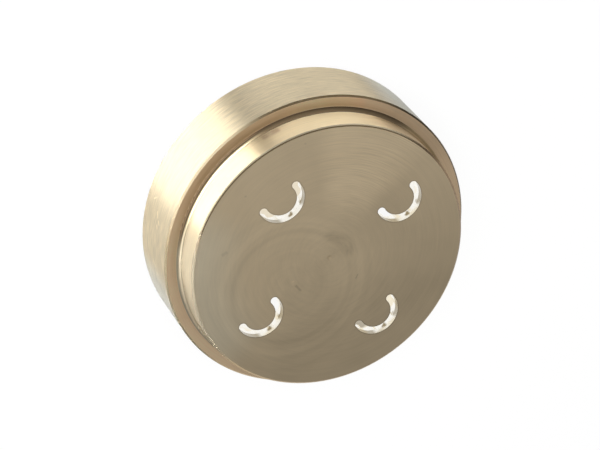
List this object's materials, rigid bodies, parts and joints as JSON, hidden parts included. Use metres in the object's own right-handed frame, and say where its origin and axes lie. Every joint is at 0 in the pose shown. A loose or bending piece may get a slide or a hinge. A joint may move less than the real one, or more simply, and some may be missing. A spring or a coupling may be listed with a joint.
{
  "type": "pasta extrusion die",
  "caption": "Stepped round brass die: a wide body, a shoulder and a narrower neck, hollow at the back, with C-shaped slots through its face that shape pasta dough as it is pressed out.",
  "frame": {"origin": "centre of the back face, on the turning axis", "axes": "+Z along the turning axis, out of the working face; +X and +Y along the sides of the square of slots"},
  "size_m": [0.056, 0.056, 0.0185],
  "materials": {
    "brass": "satin, with fine turning marks"
  },
  "bodies": {
    "root": {"die_body": "brass"}
  },
  "joints": []
}
